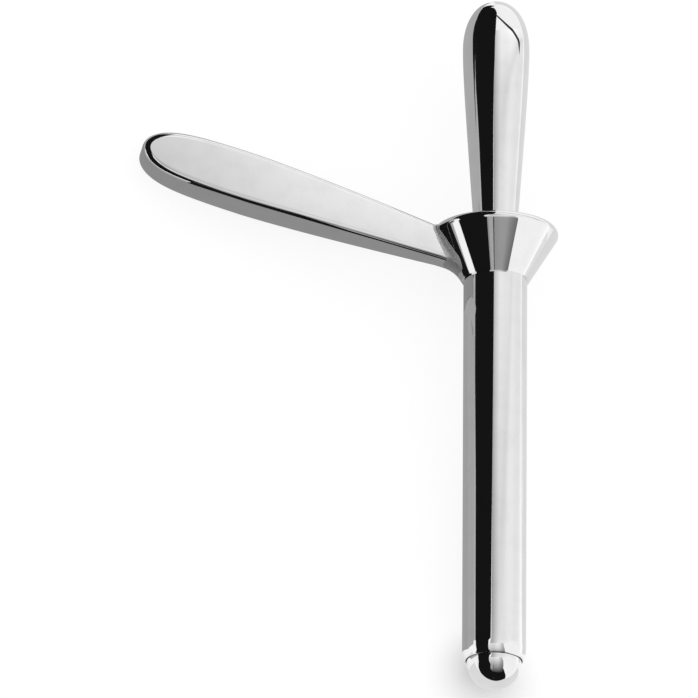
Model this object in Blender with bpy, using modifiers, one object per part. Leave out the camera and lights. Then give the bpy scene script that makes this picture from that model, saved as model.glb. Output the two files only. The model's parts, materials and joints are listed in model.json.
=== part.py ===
"""Tubular rectal speculum with its obturator, in polished steel, lying at rest on a table.

The instrument is modelled upright, with its tube along the local Z axis: the foot of the funnel is at
z = 0, the knob points up, the tube down, and the handle leans out towards -X. An empty then carries the
whole instrument into the pose in which it comes to rest on the funnel's rim, the end of the tube and the
end of the handle. Units are metres.
"""

import math

import bmesh
import bpy
from mathutils import Matrix, Vector

# Running and seating clearances
SEAT_GAP = 0.0003

# Tube
TUBE_OUTER_R = 0.0110
TUBE_WALL = 0.0012
TUBE_REACH = 0.1390
TUBE_LIP_RUN = 0.0022
TUBE_LIP_FACE = 0.0002

# Funnel
FUNNEL_FOOT_EDGE = 0.0004
FUNNEL_RIM_R = 0.02165
FUNNEL_HEIGHT = 0.0188
FUNNEL_WALL = 0.0022
FUNNEL_RIM_ROUND = 0.0020
FUNNEL_RIM_FLAT = 0.0011
FUNNEL_SOCKET_DEPTH = 0.0040
FUNNEL_LEDGE_THICKNESS = 0.0012

# Handle
HANDLE_LENGTH = 0.1090
HANDLE_RISE = math.radians(16.5)
HANDLE_ROOT_HEIGHT = 0.01145
HANDLE_ROOT_WIDTH = 0.0109
HANDLE_BELLY_WIDTH = 0.0179
HANDLE_BELLY_FROM_END = 0.0393
HANDLE_ROOT_THICKNESS = 0.0101
HANDLE_BELLY_THICKNESS = 0.0160
HANDLE_END_THICKNESS = 0.0139
HANDLE_EDGE_ROUND = 0.0009
HANDLE_END_ROUND = 0.0026
HANDLE_END_ROUND_RUN = 0.0300
HANDLE_SIDE_SWELL = 1.25
HANDLE_END_FULLNESS = 4.9
HANDLE_TAIL = 0.0098
ROOT_CUTTER_REACH = 0.0094

# Obturator
TIP_BARREL_LENGTH = 0.0120
TIP_PROUD = 0.0004
ROD_R = 0.0040
ROD_SOCKET_DEPTH = 0.0090
STOP_GUIDE_LENGTH = 0.0070
STOP_FLANGE_WIDTH = 0.0016
STOP_FLANGE_THICKNESS = 0.0022
STOP_CHAMFER = 0.0005
KNOB_TOP_HEIGHT = 0.1026
KNOB_R = 0.0115
KNOB_CROWN_LENGTH = 0.0175
KNOB_CROWN_FULLNESS = 2.15
KNOB_NECK_R = 0.0067
KNOB_TAPER = 0.0727

# Smoothness of the turned and shaped pieces
TURNED_STEPS = 64
ARC_STEPS = 6
CROWN_STEPS = 10
KNOB_SIDE_STEPS = 8
HANDLE_SIDE_STEPS = 8
HANDLE_END_STEPS = 12
HANDLE_BEVEL_STEPS = 3
SHARP_ANGLE = math.radians(35)
MERGE_DISTANCE = 0.00001

# Sizes that follow from the ones above
BORE_R = TUBE_OUTER_R - TUBE_WALL
GUIDE_R = BORE_R - SEAT_GAP
SOCKET_R = TUBE_OUTER_R + SEAT_GAP
FUNNEL_FOOT_R = SOCKET_R + FUNNEL_FOOT_EDGE
RIM_ROUND_R = FUNNEL_RIM_R - FUNNEL_RIM_ROUND
RIM_ROUND_HEIGHT = FUNNEL_HEIGHT - FUNNEL_RIM_ROUND
RIM_INNER_R = RIM_ROUND_R - FUNNEL_RIM_FLAT
LEDGE_HEIGHT = FUNNEL_SOCKET_DEPTH + FUNNEL_LEDGE_THICKNESS
ROD_SOCKET_R = ROD_R + SEAT_GAP
STOP_SEAT_HEIGHT = LEDGE_HEIGHT + SEAT_GAP
STOP_TOP_HEIGHT = STOP_SEAT_HEIGHT + STOP_FLANGE_THICKNESS
KNOB_FOOT_HEIGHT = STOP_TOP_HEIGHT + SEAT_GAP

STEEL_COLOUR = (0.86, 0.86, 0.87, 1.0)
STEEL_ROUGHNESS = 0.06


def clear_scene():
    """Remove every object of the scene."""
    for obj in list(bpy.data.objects):
        bpy.data.objects.remove(obj, do_unlink=True)


def new_collection(name):
    """Return a new collection linked to the scene."""
    collection = bpy.data.collections.new(name)
    bpy.context.scene.collection.children.link(collection)
    return collection


def polished_steel(name):
    """Return a mirror-polished steel material with the name of its piece."""
    material = bpy.data.materials.new(name + "_steel")
    material.use_nodes = True
    shader = material.node_tree.nodes["Principled BSDF"]
    shader.inputs["Base Color"].default_value = STEEL_COLOUR
    shader.inputs["Metallic"].default_value = 1.0
    shader.inputs["Roughness"].default_value = STEEL_ROUGHNESS
    return material


def add_piece(name, mesh, collection, parent):
    """Put a mesh in the scene as a named piece of polished steel."""
    piece = bpy.data.objects.new(name, mesh)
    mesh.materials.append(polished_steel(name))
    collection.objects.link(piece)
    piece.parent = parent
    return piece


def arc(centre_r, centre_z, run_r, run_z, start, end, steps):
    """Points along an elliptical arc in the turning plane, both ends included."""
    angles = [start + (end - start) * i / steps for i in range(steps + 1)]
    return [(centre_r + run_r * math.cos(a), centre_z + run_z * math.sin(a)) for a in angles]


def turned(name, profile, closed, collection, parent=None):
    """Turn a profile of (radius, height) points about Z; its outer side runs from top to bottom."""
    mesh = bpy.data.meshes.new(name)
    shape = bmesh.new()
    points = [shape.verts.new((r, 0.0, z)) for r, z in profile]
    for start, end in zip(points, points[1:]):
        shape.edges.new((start, end))
    if closed:
        shape.edges.new((points[-1], points[0]))
    shape.to_mesh(mesh)
    shape.free()
    piece = add_piece(name, mesh, collection, parent)
    screw = piece.modifiers.new("turning", "SCREW")
    screw.axis = "Z"
    screw.steps = TURNED_STEPS
    screw.render_steps = TURNED_STEPS
    screw.use_merge_vertices = True
    screw.merge_threshold = MERGE_DISTANCE
    screw.use_smooth_shade = True
    return piece


def funnel_slope():
    """Half angle of the funnel's outer cone, which runs from the foot's edge tangent to the rim's round."""
    run = RIM_ROUND_R - FUNNEL_FOOT_R
    return math.atan2(run, RIM_ROUND_HEIGHT) + math.asin(FUNNEL_RIM_ROUND / math.hypot(run, RIM_ROUND_HEIGHT))


def funnel_outer_r(height):
    """Radius of the funnel's outer cone at a height above its foot."""
    return FUNNEL_FOOT_R + height * math.tan(funnel_slope())


def tube(collection, parent):
    """The working tube: straight bore, outer edge rounded over to a thin lip at its free end."""
    top = FUNNEL_SOCKET_DEPTH - SEAT_GAP
    lip_r = BORE_R + TUBE_LIP_FACE
    lip_size = (TUBE_OUTER_R - lip_r, TUBE_LIP_RUN)
    lip = arc(lip_r, TUBE_LIP_RUN - TUBE_REACH, *lip_size, 0.0, -math.pi / 2, ARC_STEPS)
    profile = [(TUBE_OUTER_R, top)] + lip + [(BORE_R, -TUBE_REACH), (BORE_R, top)]
    return turned("tube", profile, True, collection, parent)


def funnel(collection, parent):
    """The cone at the tube's mouth: a socket for the tube below, a ledge, and a thick rounded rim."""
    slope = funnel_slope()
    wall_run = FUNNEL_WALL / math.cos(slope)
    mouth_height = (RIM_INNER_R + wall_run - FUNNEL_FOOT_R) / math.tan(slope)
    rim_round = (FUNNEL_RIM_ROUND, FUNNEL_RIM_ROUND)
    profile = arc(RIM_ROUND_R, RIM_ROUND_HEIGHT, *rim_round, math.pi / 2, -slope, ARC_STEPS)
    profile += [
        (FUNNEL_FOOT_R, 0.0),
        (SOCKET_R, 0.0),
        (SOCKET_R, FUNNEL_SOCKET_DEPTH),
        (BORE_R, FUNNEL_SOCKET_DEPTH),
        (BORE_R, LEDGE_HEIGHT),
        (funnel_outer_r(LEDGE_HEIGHT) - wall_run, LEDGE_HEIGHT),
        (RIM_INNER_R, mouth_height),
        (RIM_INNER_R, FUNNEL_HEIGHT),
    ]
    return turned("funnel", profile, True, collection, parent)


def handle_half_width(along):
    """Half of the handle's width at a distance from its root: a straight swell, then a full round end."""
    belly_at = HANDLE_LENGTH - HANDLE_BELLY_FROM_END
    if along < belly_at:
        swell = 1.0 - (1.0 - max(along, 0.0) / belly_at) ** HANDLE_SIDE_SWELL
        return (HANDLE_ROOT_WIDTH + (HANDLE_BELLY_WIDTH - HANDLE_ROOT_WIDTH) * swell) / 2
    beyond = min((along - belly_at) / HANDLE_BELLY_FROM_END, 1.0)
    return HANDLE_BELLY_WIDTH / 2 * math.sqrt(1.0 - beyond**HANDLE_END_FULLNESS)


def handle_half_thickness(along):
    """Half of the handle's thickness at a distance from its root, fullest at the belly."""
    belly_at = HANDLE_LENGTH - HANDLE_BELLY_FROM_END
    if along < belly_at:
        fullness = math.sin(math.pi / 2 * max(along, 0.0) / belly_at)
        return (HANDLE_ROOT_THICKNESS + (HANDLE_BELLY_THICKNESS - HANDLE_ROOT_THICKNESS) * fullness) / 2
    beyond = (along - belly_at) / HANDLE_BELLY_FROM_END
    return (HANDLE_BELLY_THICKNESS - (HANDLE_BELLY_THICKNESS - HANDLE_END_THICKNESS) * beyond**2) / 2


def handle_round(along):
    """Radius of the rounding along the handle's edges, larger around its free end."""
    nearness = max(0.0, 1.0 - (HANDLE_LENGTH - along) / HANDLE_END_ROUND_RUN)
    return HANDLE_EDGE_ROUND + (HANDLE_END_ROUND - HANDLE_EDGE_ROUND) * nearness


def handle_stations():
    """Distances from the root at which the outline has its points, closest together at the end."""
    belly_at = HANDLE_LENGTH - HANDLE_BELLY_FROM_END
    side = [-HANDLE_TAIL] + [belly_at * i / HANDLE_SIDE_STEPS for i in range(HANDLE_SIDE_STEPS)]
    turns = [math.pi / 2 * i / HANDLE_END_STEPS for i in range(HANDLE_END_STEPS + 1)]
    return side + [belly_at + HANDLE_BELLY_FROM_END * math.sin(turn) for turn in turns]


def handle_plate():
    """A plate with the handle's outline and weighted edges: X along the handle, Y through it, Z across."""
    stations = handle_stations()
    upper = [(s, handle_half_width(s)) for s in stations]
    lower = [(s, -w) for s, w in reversed(upper[:-1])]
    half = HANDLE_BELLY_THICKNESS / 2
    plate = bmesh.new()
    outline = plate.faces.new([plate.verts.new((s, -half, w)) for s, w in upper + lower])
    far = bmesh.ops.extrude_face_region(plate, geom=[outline])["geom"]
    far_verts = [v for v in far if isinstance(v, bmesh.types.BMVert)]
    bmesh.ops.translate(plate, verts=far_verts, vec=(0.0, 2 * half, 0.0))
    bmesh.ops.recalc_face_normals(plate, faces=plate.faces)
    weight = plate.edges.layers.float.new("bevel_weight_edge")
    for edge in plate.edges:
        start, end = (v.co for v in edge.verts)
        if math.isclose(start.y, end.y, abs_tol=SEAT_GAP):
            edge[weight] = handle_round((start.x + end.x) / 2) / HANDLE_END_ROUND
    mesh = bpy.data.meshes.new("handle_plate")
    plate.to_mesh(mesh)
    plate.free()
    return mesh


def evaluated_mesh(mesh, set_up):
    """Return the mesh that results from the modifiers which set_up puts on a passing object."""
    holder = bpy.data.objects.new("holder", mesh)
    bpy.context.scene.collection.objects.link(holder)
    set_up(holder)
    graph = bpy.context.evaluated_depsgraph_get()
    result = bpy.data.meshes.new_from_object(holder.evaluated_get(graph))
    bpy.data.objects.remove(holder, do_unlink=True)
    return result


def round_edges(holder):
    """Round the plate's edges by their weights."""
    bevel = holder.modifiers.new("edge_rounds", "BEVEL")
    bevel.limit_method = "WEIGHT"
    bevel.width = HANDLE_END_ROUND
    bevel.segments = HANDLE_BEVEL_STEPS
    bevel.use_clamp_overlap = False
    bevel.loop_slide = False


def handle_body():
    """The plate with rounded edges, its broad faces moved in from the belly's thickness to their own."""
    shape = bmesh.new()
    shape.from_mesh(evaluated_mesh(handle_plate(), round_edges))
    cuts = HANDLE_SIDE_STEPS + HANDLE_END_STEPS // 2
    for i in range(1, cuts):
        middle = (i - 0.5) * HANDLE_LENGTH / cuts
        bmesh.ops.bisect_plane(
            shape, geom=shape.verts[:] + shape.edges[:] + shape.faces[:], dist=MERGE_DISTANCE,
            plane_co=(middle, 0.0, 0.0), plane_no=(1.0, 0.0, 0.0),
        )
    for vert in shape.verts:
        inset = HANDLE_BELLY_THICKNESS / 2 - handle_half_thickness(vert.co.x)
        vert.co.y -= math.copysign(inset, vert.co.y)
    mesh = bpy.data.meshes.new("handle")
    shape.to_mesh(mesh)
    shape.free()
    return mesh


def handle_root_cutter(collection, parent):
    """The funnel's outside, one seat gap larger and solid, carried past the handle above and below."""
    slope = funnel_slope()
    rim_round = (FUNNEL_RIM_ROUND + SEAT_GAP, FUNNEL_RIM_ROUND + SEAT_GAP)
    wall_r = RIM_ROUND_R + FUNNEL_RIM_ROUND / 2
    start = math.acos((wall_r - RIM_ROUND_R) / rim_round[0])
    foot_r = funnel_outer_r(-ROOT_CUTTER_REACH) + SEAT_GAP / math.cos(slope)
    profile = [(0.0, FUNNEL_HEIGHT + ROOT_CUTTER_REACH), (wall_r, FUNNEL_HEIGHT + ROOT_CUTTER_REACH)]
    profile += arc(RIM_ROUND_R, RIM_ROUND_HEIGHT, *rim_round, start, -slope, ARC_STEPS)
    profile += [(foot_r, -ROOT_CUTTER_REACH), (0.0, -ROOT_CUTTER_REACH)]
    cutter = turned("handle_root_cutter", profile, False, collection, parent)
    cutter.hide_render = True
    cutter.display_type = "WIRE"
    return cutter


def handle(collection, parent, cutter):
    """The handle: a flat club that leans out from the funnel, its root shaped to the cone."""
    piece = add_piece("handle", handle_body(), collection, parent)
    piece.location = (-funnel_outer_r(HANDLE_ROOT_HEIGHT), 0.0, HANDLE_ROOT_HEIGHT)
    piece.rotation_euler = (0.0, math.pi + HANDLE_RISE, 0.0)
    cut = piece.modifiers.new("root_cut", "BOOLEAN")
    cut.operation = "DIFFERENCE"
    cut.object = cutter
    piece.data.shade_smooth()
    piece.data.set_sharp_from_angle(angle=SHARP_ANGLE)
    return piece


def obturator_tip(collection, parent):
    """The dome that closes the tube's end, with a barrel that fills the bore and a socket for the rod."""
    dome_z = -TUBE_REACH - TIP_PROUD
    top = dome_z + TIP_BARREL_LENGTH
    socket_end = top - ROD_SOCKET_DEPTH
    profile = [(0.0, socket_end), (ROD_SOCKET_R, socket_end), (ROD_SOCKET_R, top), (GUIDE_R, top)]
    profile += arc(0.0, dome_z, GUIDE_R, GUIDE_R, 0.0, -math.pi / 2, CROWN_STEPS)[:-1]
    profile += [(0.0, dome_z - GUIDE_R)]
    return turned("obturator_tip", profile, False, collection, parent)


def obturator_rod(collection, parent):
    """The straight rod from the tip's socket to the knob's."""
    bottom = -TUBE_REACH - TIP_PROUD + TIP_BARREL_LENGTH - ROD_SOCKET_DEPTH + SEAT_GAP
    top = KNOB_FOOT_HEIGHT + ROD_SOCKET_DEPTH - SEAT_GAP
    profile = [(0.0, top), (ROD_R, top), (ROD_R, bottom), (0.0, bottom)]
    return turned("obturator_rod", profile, False, collection, parent)


def obturator_stop(collection, parent):
    """The collar on the rod: it guides in the bore, and its flange stops on the funnel's ledge."""
    flange_r = GUIDE_R + STOP_FLANGE_WIDTH
    guide_end = STOP_SEAT_HEIGHT - STOP_GUIDE_LENGTH
    profile = [
        (ROD_SOCKET_R, STOP_TOP_HEIGHT),
        (flange_r - STOP_CHAMFER, STOP_TOP_HEIGHT),
        (flange_r, STOP_TOP_HEIGHT - STOP_CHAMFER),
        (flange_r, STOP_SEAT_HEIGHT),
        (GUIDE_R, STOP_SEAT_HEIGHT),
        (GUIDE_R, guide_end + STOP_CHAMFER),
        (GUIDE_R - STOP_CHAMFER, guide_end),
        (ROD_SOCKET_R, guide_end),
    ]
    return turned("obturator_stop", profile, True, collection, parent)


def knob_side_r(below_crown):
    """Radius of the knob at a depth below its widest circle: a soft shoulder that settles into a taper."""
    depth = KNOB_TOP_HEIGHT - KNOB_CROWN_LENGTH - KNOB_FOOT_HEIGHT
    drop = KNOB_R - KNOB_NECK_R
    softness = ((KNOB_TAPER * depth) ** 2 - drop**2) / (2 * drop)
    return KNOB_R + softness - math.hypot(softness, KNOB_TAPER * below_crown)


def obturator_knob(collection, parent):
    """The pear-shaped knob that the obturator is held by, with a socket for the rod in its foot."""
    crown_z = KNOB_TOP_HEIGHT - KNOB_CROWN_LENGTH
    depth = crown_z - KNOB_FOOT_HEIGHT
    power = 2 / KNOB_CROWN_FULLNESS
    crown = arc(0.0, 0.0, 1.0, 1.0, math.pi / 2, 0.0, CROWN_STEPS)
    profile = [(0.0, KNOB_TOP_HEIGHT)]
    profile += [(KNOB_R * c**power, crown_z + KNOB_CROWN_LENGTH * s**power) for c, s in crown[1:-1]]
    depths = [depth * i / KNOB_SIDE_STEPS for i in range(KNOB_SIDE_STEPS + 1)]
    profile += [(knob_side_r(d), crown_z - d) for d in depths]
    socket_top = KNOB_FOOT_HEIGHT + ROD_SOCKET_DEPTH
    profile += [(ROD_SOCKET_R, KNOB_FOOT_HEIGHT), (ROD_SOCKET_R, socket_top), (0.0, socket_top)]
    return turned("obturator_knob", profile, False, collection, parent)


def solids_of(pieces):
    """The evaluated pieces as one mesh, in the coordinates of the upright instrument."""
    graph = bpy.context.evaluated_depsgraph_get()
    together = bmesh.new()
    for piece in pieces:
        evaluated = piece.evaluated_get(graph)
        mesh = evaluated.to_mesh()
        mesh.transform(evaluated.matrix_world)
        together.from_mesh(mesh)
        evaluated.to_mesh_clear()
    bmesh.ops.triangulate(together, faces=together.faces)
    return together


def centre_of_mass(solids):
    """Centre of mass of closed triangle meshes of one density."""
    weighted = Vector()
    volume = 0.0
    for face in solids.faces:
        a, b, c = (v.co for v in face.verts)
        share = a.dot(b.cross(c)) / 6
        weighted += share * (a + b + c) / 4
        volume += share
    return weighted / volume


def stands_on(face, centre):
    """Whether the centre of mass lies over a triangle of the hull that faces down."""
    corners = [v.co for v in face.verts]
    sides = zip(corners, corners[1:] + corners[:1])
    return all((b - a).cross(centre - a).dot(face.normal) > 0 for a, b in sides)


def resting_matrix(pieces):
    """The turn and lift that lay the instrument down: knob towards +Y, handle towards -X, its back below.

    The instrument comes to rest on the side of its convex hull, on the back, that its centre of mass is over.
    """
    solids = solids_of(pieces)
    centre = centre_of_mass(solids)
    hull = bmesh.new()
    for vert in solids.verts:
        hull.verts.new(vert.co)
    solids.free()
    made = bmesh.ops.convex_hull(hull, input=hull.verts)
    inner = {v for v in made["geom_interior"] + made["geom_unused"] if isinstance(v, bmesh.types.BMVert)}
    bmesh.ops.delete(hull, geom=list(inner), context="VERTS")
    bmesh.ops.triangulate(hull, faces=hull.faces)
    bmesh.ops.recalc_face_normals(hull, faces=hull.faces)
    backs = [f for f in hull.faces if f.normal.y > abs(f.normal.x) and stands_on(f, centre)]
    down = max(backs, key=lambda f: f.calc_area()).normal
    up = -down
    along = (Vector((0.0, 0.0, 1.0)) - up * up.z).normalized()
    turn = Matrix((along.cross(up), along, up)).to_4x4()
    laid = [turn @ v.co for v in hull.verts]
    hull.free()
    low = Vector([min(p[k] for p in laid) for k in range(3)])
    high = Vector([max(p[k] for p in laid) for k in range(3)])
    shift = Vector((-(low.x + high.x) / 2, -(low.y + high.y) / 2, -low.z))
    return Matrix.Translation(shift) @ turn


def main():
    """Build the instrument and lay it down."""
    clear_scene()
    parts = new_collection("rectal_speculum")
    cutters = new_collection("cutters")
    resting_pose = bpy.data.objects.new("resting_pose", None)
    obturator_slide = bpy.data.objects.new("obturator_slide", None)
    obturator_slide.parent = resting_pose
    for empty in (resting_pose, obturator_slide):
        parts.objects.link(empty)
    root_cutter = handle_root_cutter(cutters, resting_pose)
    pieces = [
        tube(parts, resting_pose),
        funnel(parts, resting_pose),
        handle(parts, resting_pose, root_cutter),
        obturator_tip(parts, obturator_slide),
        obturator_rod(parts, obturator_slide),
        obturator_stop(parts, obturator_slide),
        obturator_knob(parts, obturator_slide),
    ]
    bpy.context.view_layer.update()
    resting_pose.matrix_world = resting_matrix(pieces)
    bpy.context.view_layer.update()


main()
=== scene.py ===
"""Tubular rectal speculum and its obturator in mirror-polished steel, lying on a pale table.

Every piece is shaped upright, with the tube along Z, the funnel's foot at z = 0, the knob above and the
handle towards -X, and is then laid down into the pose of the frame. Units are metres.
"""

import json
import logging
import math
from dataclasses import dataclass
from enum import Enum
from typing import Iterable, Sequence

import bmesh
import bpy
from mathutils import Matrix, Vector


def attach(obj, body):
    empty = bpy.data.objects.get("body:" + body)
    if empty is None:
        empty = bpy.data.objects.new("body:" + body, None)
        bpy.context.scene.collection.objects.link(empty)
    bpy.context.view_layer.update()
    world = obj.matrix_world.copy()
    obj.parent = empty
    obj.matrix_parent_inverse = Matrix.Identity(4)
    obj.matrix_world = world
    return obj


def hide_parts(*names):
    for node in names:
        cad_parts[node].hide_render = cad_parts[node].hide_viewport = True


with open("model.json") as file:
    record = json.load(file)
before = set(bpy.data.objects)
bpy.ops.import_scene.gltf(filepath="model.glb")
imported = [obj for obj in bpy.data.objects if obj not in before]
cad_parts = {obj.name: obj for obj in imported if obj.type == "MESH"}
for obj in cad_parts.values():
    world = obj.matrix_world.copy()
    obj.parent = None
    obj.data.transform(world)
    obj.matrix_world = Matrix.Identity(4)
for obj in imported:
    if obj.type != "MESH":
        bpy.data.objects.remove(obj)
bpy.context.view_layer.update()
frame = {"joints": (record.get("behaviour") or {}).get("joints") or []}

log = logging.getLogger("speculum")

Profile = list[tuple[float, float]]
Outline = Sequence[tuple[float, float]]
Stops = Sequence[tuple[float, float]]

DARK = 0.008
MERGE_DISTANCE = 1e-7
CUT_DISTANCE = 1e-6
SLIVER = 1e-8
NEARLY_ZERO = 1e-12
SHARP_FROM = math.radians(40)


class Body(Enum):
    """The rigid bodies that pieces ride on."""

    SPECULUM = "speculum"
    OBTURATOR = "obturator"


class Slot(Enum):
    """The material slots of the record."""

    SPECULUM = "speculum_steel"
    OBTURATOR = "obturator_steel"


class Stretch(Enum):
    """The kinds of stretch that make up a section of the handle."""

    FACE = "face"
    ROUND = "round"
    WALL = "wall"


class Layer(Enum):
    """Heights of the flat cards over the table, so that no two lie in one plane."""

    PALE = 0.0004
    APRON = 0.0006
    SHADED = 0.0008
    RUNNER = 0.0010
    DARK = 0.0012


SectionPoint = tuple[Stretch, float, int, int]


@dataclass(frozen=True)
class RestingPose:
    """How the upright instrument lies on the table.

    Attributes:
        foot_centre: Where the centre of the funnel's foot comes to lie.
        roll: Turn about the tube's axis that brings the handle's end down to the table.
    """

    foot_centre: tuple[float, float, float] = (0.050646, 0.023095, 0.020414)
    roll: float = math.radians(7.665)

    def matrix(self) -> Matrix:
        """Work out how the instrument is laid down.

        Returns:
            The matrix from upright coordinates to the row's frame.
        """
        axis = Vector(frame["joints"][0]["axis"]).normalized()
        level = Vector((1.0, 0.0, 0.0))
        right = level * math.cos(self.roll) - axis.cross(level) * math.sin(self.roll)
        turn = Matrix((right, axis.cross(right), axis)).transposed().to_4x4()
        return Matrix.Translation(self.foot_centre) @ turn


LAID_DOWN = RestingPose().matrix()


@dataclass(frozen=True)
class SteelFinish:
    """A mirror-polished steel surface.

    Attributes:
        name: Name of the material.
        colour: Reflectance of the polished metal.
        hazed_colour: Reflectance where the polish is duller.
        roughness: Lowest and highest roughness of the polish.
        ripple: Height of the long, faint waves that hand polishing leaves.
        ripple_scale: Waves per metre.
        line_height: Height of the finest polishing lines.
        haze_scale: Patches of haze per metre.
        line_scale: Finest polishing lines per metre.
    """

    name: str
    colour: tuple[float, float, float, float] = (0.87, 0.87, 0.88, 1.0)
    hazed_colour: tuple[float, float, float, float] = (0.82, 0.82, 0.825, 1.0)
    roughness: tuple[float, float] = (0.02, 0.05)
    ripple: float = 0.00001
    ripple_scale: float = 55.0
    line_height: float = 0.0000004
    haze_scale: float = 140.0
    line_scale: float = 2600.0

    def material(self) -> bpy.types.Material:
        """Build the node material of the finish.

        Returns:
            The new material.
        """
        material = bpy.data.materials.new(self.name)
        material.use_nodes = True
        nodes, links = material.node_tree.nodes, material.node_tree.links
        shader = nodes["Principled BSDF"]
        shader.inputs["Metallic"].default_value = 1.0

        place = nodes.new("ShaderNodeTexCoord")
        haze = nodes.new("ShaderNodeTexNoise")
        haze.inputs["Scale"].default_value = self.haze_scale
        haze.inputs["Detail"].default_value = 5.0
        haze.inputs["Roughness"].default_value = 0.6
        links.new(place.outputs["Object"], haze.inputs["Vector"])

        tint = nodes.new("ShaderNodeMix")
        tint.data_type = "RGBA"
        tint.inputs[6].default_value = self.colour
        tint.inputs[7].default_value = self.hazed_colour
        spread = nodes.new("ShaderNodeMapRange")
        spread.inputs["From Min"].default_value = 0.45
        spread.inputs["From Max"].default_value = 0.75
        links.new(haze.outputs["Fac"], spread.inputs["Value"])
        links.new(spread.outputs["Result"], tint.inputs[0])
        links.new(tint.outputs[2], shader.inputs["Base Color"])

        polish = nodes.new("ShaderNodeMapRange")
        polish.inputs["From Min"].default_value = 0.3
        polish.inputs["From Max"].default_value = 0.8
        polish.inputs["To Min"].default_value = self.roughness[0]
        polish.inputs["To Max"].default_value = self.roughness[1]
        links.new(haze.outputs["Fac"], polish.inputs["Value"])
        links.new(polish.outputs["Result"], shader.inputs["Roughness"])

        waves = nodes.new("ShaderNodeTexNoise")
        waves.inputs["Scale"].default_value = self.ripple_scale
        waves.inputs["Detail"].default_value = 1.0
        links.new(place.outputs["Object"], waves.inputs["Vector"])
        ripple = nodes.new("ShaderNodeBump")
        ripple.inputs["Strength"].default_value = 1.0
        ripple.inputs["Distance"].default_value = self.ripple
        links.new(waves.outputs["Fac"], ripple.inputs["Height"])

        grit = nodes.new("ShaderNodeTexNoise")
        grit.inputs["Scale"].default_value = self.line_scale
        grit.inputs["Detail"].default_value = 2.0
        links.new(place.outputs["Object"], grit.inputs["Vector"])
        lines = nodes.new("ShaderNodeBump")
        lines.inputs["Strength"].default_value = 1.0
        lines.inputs["Distance"].default_value = self.line_height
        links.new(grit.outputs["Fac"], lines.inputs["Height"])
        links.new(ripple.outputs["Normal"], lines.inputs["Normal"])
        links.new(lines.outputs["Normal"], shader.inputs["Normal"])
        return material


def arc(centre: tuple[float, float], size: tuple[float, float], turn: tuple[float, float], steps: int,
        fullness: float = 2.0) -> Profile:
    """Sample a superelliptical arc.

    Args:
        centre: Radius and height of the arc's centre.
        size: Half axes of the arc.
        turn: First and last angle, in radians.
        steps: Number of steps between the two.
        fullness: Exponent of the superellipse; 2 is a plain ellipse.

    Returns:
        The points of the arc, both ends included.
    """
    points = []
    for i in range(steps + 1):
        angle = turn[0] + (turn[1] - turn[0]) * i / steps
        c, s = math.cos(angle), math.sin(angle)
        c = 0.0 if abs(c) < NEARLY_ZERO else math.copysign(abs(c) ** (2 / fullness), c)
        s = 0.0 if abs(s) < NEARLY_ZERO else math.copysign(abs(s) ** (2 / fullness), s)
        points.append((centre[0] + size[0] * c, centre[1] + size[1] * s))
    return points


def divided(profile: Profile, longest: float) -> Profile:
    """Divide the long straight runs of a profile.

    Args:
        profile: Points of radius and height.
        longest: Longest run that is left.

    Returns:
        The profile with the added points.
    """
    points = [profile[0]]
    for start, end in zip(profile, profile[1:]):
        steps = max(1, math.ceil(math.dist(start, end) / longest))
        for i in range(1, steps + 1):
            points.append(tuple(a + (b - a) * i / steps for a, b in zip(start, end)))
    return points


def finish_piece(shape: bmesh.types.BMesh, name: str, body: Body, finish: SteelFinish,
                 replaced: Iterable[str], sharp: float = SHARP_FROM) -> bpy.types.Object:
    """Turn an upright shape into a piece that rides on its body.

    Args:
        shape: The shape in upright coordinates; it is freed here.
        name: Name of the piece.
        body: Body that it rides on.
        finish: Finish of its surface.
        replaced: CAD nodes that it stands for.
        sharp: Angle above which an edge stays sharp.

    Returns:
        The finished object.
    """
    bmesh.ops.remove_doubles(shape, verts=shape.verts, dist=MERGE_DISTANCE)
    bmesh.ops.recalc_face_normals(shape, faces=shape.faces)
    mesh = bpy.data.meshes.new(name)
    shape.to_mesh(mesh)
    shape.free()
    mesh.transform(LAID_DOWN)
    mesh.shade_smooth()
    mesh.set_sharp_from_angle(angle=sharp)
    material = bpy.data.materials.get(finish.name) or finish.material()
    mesh.materials.append(material)
    piece = bpy.data.objects.new(name, mesh)
    bpy.context.scene.collection.objects.link(piece)
    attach(piece, body.value)
    if replaced:
        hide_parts(*replaced)
    log.info("%s: %d faces", name, len(mesh.polygons))
    return piece


def turned(profile: Profile, closed: bool, segments: int = 192) -> bmesh.types.BMesh:
    """Turn a profile about Z.

    Args:
        profile: Points of radius and height.
        closed: Whether the last point joins the first.
        segments: Steps round the full turn.

    Returns:
        The turned shape.
    """
    shape = bmesh.new()
    points = [shape.verts.new((r, 0.0, z)) for r, z in profile]
    pairs = list(zip(points, points[1:])) + ([(points[-1], points[0])] if closed else [])
    edges = [shape.edges.new(pair) for pair in pairs]
    bmesh.ops.spin(shape, geom=points + edges, cent=(0, 0, 0), axis=(0, 0, 1), angle=2 * math.pi,
                   steps=segments, use_merge=True, use_duplicate=False)
    bmesh.ops.remove_doubles(shape, verts=shape.verts, dist=MERGE_DISTANCE)
    return shape


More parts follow.
